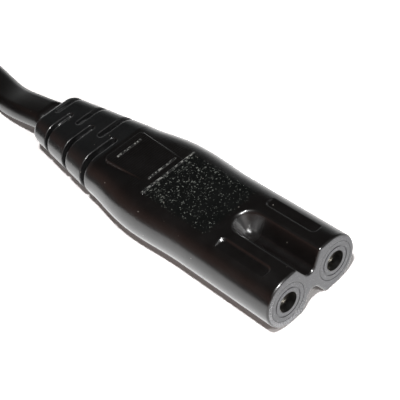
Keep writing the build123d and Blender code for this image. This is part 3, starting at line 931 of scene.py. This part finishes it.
def sew(name, seams, settings, material):
    """Stitches along seams, closed where they have more than two points, as one plain mesh."""
    points = [Vector(p) for seam in seams for p in seam]
    edges, start = [], 0
    for seam in seams:
        edges += [(start + i, start + i + 1) for i in range(len(seam) - 1)]
        if len(seam) > 2:
            edges.append((start + len(seam) - 1, start))
        start += len(seam)
    mesh = bpy.data.meshes.new(name + "_seam")
    mesh.from_pydata(points, edges, [])
    path = bpy.data.objects.new(name + "_seam", mesh)
    bpy.context.scene.collection.objects.link(path)
    modifier = path.modifiers.new("stitches", "NODES")
    modifier.node_group = stitch_tree()
    values = {
        "Pitch": settings.pitch,
        "Stitch Length": settings.stitch,
        "Thread Thickness": settings.thickness,
        "Seed": settings.seed,
        "Material": material,
    }
    for item in modifier.node_group.interface.items_tree:
        if item.in_out == "INPUT" and item.name in values:
            modifier[item.identifier] = values[item.name]
    evaluated = path.evaluated_get(bpy.context.evaluated_depsgraph_get())
    sewn = bpy.data.meshes.new_from_object(evaluated)
    sewn.name = name
    bpy.data.objects.remove(path)
    bpy.data.meshes.remove(mesh)
    stitches = bpy.data.objects.new(name, sewn)
    bpy.context.scene.collection.objects.link(stitches)
    for face in sewn.polygons:
        face.use_smooth = True
    return stitches


def cord_route(settings):
    """Control points of the cord: the lead from the connector, the coil's turns and the tail."""
    route = [Vector(p) * MM for p in LEAD_POINTS]
    outer, inner = settings.coil_radius, settings.coil_core
    turns, steps = settings.turns, settings.points_per_turn
    # The lower layer winds inwards and the upper one outwards, with a short climb between them
    climb = 0.25
    layer = (turns - climb) / 2
    low, high = 3.5 * MM, 9.3 * MM
    climb_dip = 0.4 * MM
    # The lead comes in a little lower and rises to its layer within a tenth of a turn
    lead_height, lead_rise, lead_turns = 3.1 * MM, 4 * MM, 0.1
    # A quadratic spline runs inside its points, so they stand a little further out
    stand_out = 1 / (0.75 + 0.25 * math.cos(2 * math.pi / steps))
    middle = Vector(COIL_CENTRE) * MM
    for i in range(int(turns * steps) + 1):
        turn = i / steps
        angle = math.radians(COIL_START_ANGLE) + 2 * math.pi * turn
        if turn < layer:
            radius = outer + (inner - outer) * turn / layer
            height = low if turn > lead_turns else lead_height + lead_rise * turn
        elif turn < layer + climb:
            share = (turn - layer) / climb
            radius = inner - climb_dip * math.sin(math.pi * share)
            height = low + (high - low) * share
        else:
            radius = inner + (outer - inner) * (turn - layer - climb) / layer
            height = high
        ring = Vector((math.cos(angle), math.sin(angle), 0)) * radius * stand_out
        route.append(middle + ring + Vector((0, 0, height)))
    return route + [Vector(p) * MM for p in TAIL_POINTS]


def smooth_line(points):
    """Points along the NURBS spline that the control points set."""
    curve = bpy.data.curves.new("route", "CURVE")
    curve.dimensions = "3D"
    curve.resolution_u = 6
    spline = curve.splines.new("NURBS")
    spline.points.add(len(points) - 1)
    for point, place in zip(spline.points, points):
        point.co = (*place, 1.0)
    spline.order_u = 3
    spline.use_endpoint_u = True
    obj = bpy.data.objects.new("route", curve)
    bpy.context.scene.collection.objects.link(obj)
    bpy.context.view_layer.update()
    evaluated = obj.evaluated_get(bpy.context.evaluated_depsgraph_get())
    line = bpy.data.meshes.new_from_object(evaluated)
    places = [v.co.copy() for v in line.vertices]
    bpy.data.objects.remove(obj)
    bpy.data.curves.remove(curve)
    bpy.data.meshes.remove(line)
    return places


def cord_rings(settings, line, lengths):
    """Points round the cord at each point of its line: a flat section with round edges."""
    half_flat = (settings.width - settings.thickness) / 2
    radius = settings.thickness / 2
    rings = []
    for index, place in enumerate(line):
        ahead = line[min(index + 1, len(line) - 1)] - line[max(index - 1, 0)]
        tangent = ahead.normalized()
        side = Vector((0, 0, 1)).cross(tangent).normalized()
        up = tangent.cross(side)
        # The cord lies flat at both mouldings and stands on edge in the coil
        edge = smoothstep((lengths[index] - EDGE_AFTER) / EDGE_ON_OVER)
        edge *= smoothstep((lengths[-1] - lengths[index] - FLAT_BEFORE) / EDGE_OFF_OVER)
        turn = edge * math.pi / 2
        wide = side * math.cos(turn) + up * math.sin(turn)
        thin = up * math.cos(turn) - side * math.sin(turn)
        for k in range(CORD_SIDES):
            around = 2 * math.pi * (k + 0.5) / CORD_SIDES
            x = radius * math.cos(around) + math.copysign(half_flat, math.cos(around))
            rings.append(place + wide * x + thin * radius * math.sin(around))
    return rings


def tube_faces(rings):
    """Faces of a closed tube of so many rings of points."""
    faces = []
    for i in range(rings - 1):
        for k in range(CORD_SIDES):
            a, b = i * CORD_SIDES + k, i * CORD_SIDES + (k + 1) % CORD_SIDES
            faces.append((a, b, b + CORD_SIDES, a + CORD_SIDES))
    faces.append(tuple(reversed(range(CORD_SIDES))))
    last = (rings - 1) * CORD_SIDES
    faces.append(tuple(range(last, last + CORD_SIDES)))
    return faces


def unwrap_tube(mesh, lengths):
    """Turns a tube's faces outwards and gives it a UV map: metres along it and once round it."""
    edit = bmesh.new()
    edit.from_mesh(mesh)
    bmesh.ops.recalc_face_normals(edit, faces=edit.faces)
    layer = edit.loops.layers.uv.new("UVMap")
    for face in edit.faces:
        indices = [loop.vert.index % CORD_SIDES for loop in face.loops]
        wraps = len(face.loops) == 4 and 0 in indices and CORD_SIDES - 1 in indices
        for loop in face.loops:
            around = loop.vert.index % CORD_SIDES
            if wraps and around == 0:
                around = CORD_SIDES
            loop[layer].uv = (lengths[loop.vert.index // CORD_SIDES], around / CORD_SIDES)
    edit.to_mesh(mesh)
    edit.free()


class POWERCORD_OT_cord(bpy.types.Operator):
    """Lays the flat cord along its route and winds up the stored length"""

    bl_idname = "power_cord.cord"
    bl_label = "Cord"

    def execute(self, context):
        settings = context.scene.power_cord_cord
        line = smooth_line(cord_route(settings))
        lengths = [0.0]
        for before, after in zip(line, line[1:]):
            lengths.append(lengths[-1] + (after - before).length)
        rings = cord_rings(settings, line, lengths)
        cord = mesh_object("cord", rings, tube_faces(len(line)), sheath_material(settings))
        unwrap_tube(cord.data, lengths)
        # The pieces on the lead but the cord's own stand-ins, and the strap's stitches, are
        # gathered into a list
        names = frame["record"]["physics"]["cord_nodes"]
        pieces = [frame["nodes"][n] for n in names if not n.startswith("cord_")]
        pieces.append(bpy.data.objects["strap_stitches"])
        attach(cord, "root")
        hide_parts("cord_lead", "cord_coil", "cord_tail")
        print("cord length", round(lengths[-1], 4))
        return {"FINISHED"}


class POWERCORD_OT_mouldings(bpy.types.Operator):
    """Finishes the overmoulded bodies of the connector and the plug"""

    bl_idname = "power_cord.mouldings"
    bl_label = "Mouldings"

    def execute(self, context):
        moulding = moulding_material(context.scene.power_cord_moulding)
        dress("connector_shell", moulding)
        dress("plug_shell", moulding)
        dress("contact_carrier", carrier_material())
        bridge = plain_material("moulded_polyamide_bridge", "#1E1E1E", 0.4, ior=PLASTIC_IOR)
        dress("pin_bridge", bridge)
        sleeves = plain_material("pin_sleeve_pvc", "#191919", 0.3, ior=PLASTIC_IOR)
        for side in ("left", "right"):
            dress(f"pin_sleeve_{side}", sleeves)
        return {"FINISHED"}


class POWERCORD_OT_metalwork(bpy.types.Operator):
    """Finishes contacts, pins and copper"""

    bl_idname = "power_cord.metalwork"
    bl_label = "Contacts and pins"

    def execute(self, context):
        settings = context.scene.power_cord_metal
        tin = plain_material("tinned_brass", settings.tin, 0.35, 1.0)
        nickel = plain_material("nickel_plated_brass", settings.nickel, 0.18, 1.0)
        copper = plain_material("bare_copper", settings.copper, 0.3, 1.0)
        for side in ("left", "right"):
            dress(f"contact_{side}", tin)
            dress(f"pin_{side}", nickel)
            dress(f"connector_copper_{side}", copper)
            dress(f"plug_copper_{side}", copper)
        return {"FINISHED"}


class POWERCORD_OT_cores(bpy.types.Operator):
    """Finishes the insulated cores and the sheath inside the mouldings"""

    bl_idname = "power_cord.cores"
    bl_label = "Cores"

    def execute(self, context):
        black = context.scene.power_cord_cord.colour
        blue = plain_material("core_insulation_blue", "#2B5FA8", 0.4, ior=PLASTIC_IOR)
        brown = plain_material("core_insulation_brown", "#6B4226", 0.4, ior=PLASTIC_IOR)
        sheath = plain_material("inner_sheath_pvc", black, 0.38, ior=PLASTIC_IOR)
        for end in ("connector", "plug"):
            dress(f"{end}_core_left", blue)
            dress(f"{end}_core_right", brown)
            dress(f"{end}_sheath", sheath)
        return {"FINISHED"}


class POWERCORD_OT_tie(bpy.types.Operator):
    """Finishes the strap round the coil"""

    bl_idname = "power_cord.tie"
    bl_label = "Coil strap"

    def execute(self, context):
        settings = context.scene.power_cord_tie
        dress("coil_strap", weave_material(settings))
        thread = plain_material(
            "polyester_sewing_thread",
            settings.thread,
            0.6,
            peel_size=0.15 * MM,
            peel_depth=0.03 * MM,
            ior=PLASTIC_IOR,
        )
        # A sewn box joins the strap's overlap on top, its stitches sunk by half their thickness
        box = [
            (BOX_LEFT, BOX_NEAR, BOX_TOP),
            (BOX_RIGHT, BOX_NEAR, BOX_TOP),
            (BOX_RIGHT, BOX_FAR, BOX_TOP),
            (BOX_LEFT, BOX_FAR, BOX_TOP),
        ]
        middle = (BOX_LEFT + BOX_RIGHT) / 2
        inner = [
            (middle - SEAM_LEAN, BOX_NEAR + SEAM_INSET, BOX_TOP),
            (middle + SEAM_LEAN, BOX_FAR - SEAM_INSET, BOX_TOP),
        ]
        stitches = sew("strap_stitches", [box, inner], settings, thread)
        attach(stitches, "root")
        return {"FINISHED"}


def add_lamp(name, place, power, width):
    """A square lamp at its place, aimed at the origin."""
    data = bpy.data.lights.new(name, "AREA")
    data.energy = power
    data.size = width
    lamp = bpy.data.objects.new(name, data)
    lamp.location = place
    lamp.rotation_euler = (-Vector(place)).to_track_quat("-Z", "Y").to_euler()
    bpy.context.scene.collection.objects.link(lamp)
    return lamp


def room_world():
    """A dim room to every ray but the camera's, which sees white."""
    world = bpy.data.worlds.new("studio")
    world.use_nodes = True
    tree = world.node_tree
    tree.nodes.clear()
    rays = add_node(tree, "ShaderNodeLightPath")
    aim = add_node(tree, "ShaderNodeTexCoord").outputs["Generated"]
    axes = add_node(tree, "ShaderNodeSeparateXYZ", links={"Vector": aim})
    # Each side of the room is lit low down and dark from some height up
    sides = []
    for light, low, high in ((ROOM_NEAR, 0.35, 0.68), (ROOM_FAR, 0.0, 0.42)):
        level = add_node(
            tree,
            "ShaderNodeMapRange",
            {"From Min": low, "From Max": high},
            {"Value": axes.outputs["Z"]},
        )
        side = add_node(
            tree,
            "ShaderNodeMix",
            {"A": light, "B": ROOM_DARK},
            {"Factor": level.outputs[0]},
            data_type="RGBA",
        )
        sides.append(side.outputs["Result"])
    beyond = add_node(
        tree,
        "ShaderNodeMapRange",
        {"From Min": -0.25, "From Max": 0.15},
        {"Value": axes.outputs["Y"]},
    )
    room = add_node(
        tree,
        "ShaderNodeMix",
        links={"Factor": beyond.outputs[0], "A": sides[0], "B": sides[1]},
        data_type="RGBA",
    )
    dim = add_node(
        tree, "ShaderNodeBackground", {"Strength": 1.0}, {"Color": room.outputs["Result"]}
    )
    white = add_node(tree, "ShaderNodeBackground", {"Color": (1, 1, 1, 1), "Strength": 1.0})
    light = add_node(
        tree,
        "ShaderNodeMixShader",
        links={0: rays.outputs["Is Camera Ray"], 1: dim.outputs[0], 2: white.outputs[0]},
    )
    add_node(tree, "ShaderNodeOutputWorld", links={"Surface": light.outputs[0]})
    return world


class POWERCORD_OT_stage(bpy.types.Operator):
    """Sets the white floor, the lamps and the camera"""

    bl_idname = "power_cord.stage"
    bl_label = "Stage"

    def execute(self, context):
        settings = context.scene.power_cord_stage
        scene = context.scene
        scene.view_settings.view_transform = "Standard"
        half = FLOOR_HALF
        corners = [(-half, -half, 0), (half, -half, 0), (half, half, 0), (-half, half, 0)]
        floor = mesh_object("floor", corners, [(0, 1, 2, 3)], paper_material(settings))

        camera = bpy.data.objects.new("camera", bpy.data.cameras.new("camera"))
        camera.data.lens = settings.lens
        camera.data.sensor_width = 36
        camera.data.clip_start = 0.005
        camera.data.clip_end = 10
        camera.location = settings.camera_at
        camera.rotation_euler = settings.camera_turn
        scene.collection.objects.link(camera)
        scene.camera = camera

        add_lamp("key", KEY_AT, settings.key_power, KEY_WIDTH)
        add_lamp("flash", FLASH_AT, settings.flash_power, FLASH_WIDTH)
        # The flash is small and bright, so it shows in the gloss more than it lights the skin
        glint = add_lamp("glint", FLASH_AT, settings.glint_power, GLINT_WIDTH)
        glint.visible_diffuse = False
        scene.world = room_world()
        return {"FINISHED"}


class POWERCORD_PT_panel(bpy.types.Panel):
    """Lists the lead's pieces and their settings"""

    bl_idname = "POWERCORD_PT_panel"
    bl_label = "Power Cord"
    bl_space_type = "VIEW_3D"
    bl_region_type = "UI"
    bl_category = "Power Cord"

    def draw(self, context):
        for name in SETTINGS:
            box = self.layout.box()
            group = getattr(context.scene, name)
            for prop in group.bl_rna.properties:
                if prop.identifier not in ("rna_type", "name"):
                    box.prop(group, prop.identifier)
        for step in STEPS:
            self.layout.operator(f"power_cord.{step}")


SETTINGS = {
    "power_cord_cord": CordSettings,
    "power_cord_moulding": MouldingSettings,
    "power_cord_tie": TieSettings,
    "power_cord_metal": MetalSettings,
    "power_cord_stage": StageSettings,
}
# The cord looks up the strap's stitches, so the tie comes first
STEPS = ("tie", "cord", "mouldings", "metalwork", "cores", "stage")
CLASSES = (
    *SETTINGS.values(),
    POWERCORD_OT_cord,
    POWERCORD_OT_mouldings,
    POWERCORD_OT_metalwork,
    POWERCORD_OT_cores,
    POWERCORD_OT_tie,
    POWERCORD_OT_stage,
    POWERCORD_PT_panel,
)


def register():
    for cls in CLASSES:
        bpy.utils.register_class(cls)
    for name, group in SETTINGS.items():
        setattr(bpy.types.Scene, name, PointerProperty(type=group))


def unregister():
    for name in SETTINGS:
        delattr(bpy.types.Scene, name)
    for cls in reversed(CLASSES):
        bpy.utils.unregister_class(cls)


def main():
    register()
    for step in STEPS:
        getattr(bpy.ops.power_cord, step)()


if __name__ == "__main__":
    main()
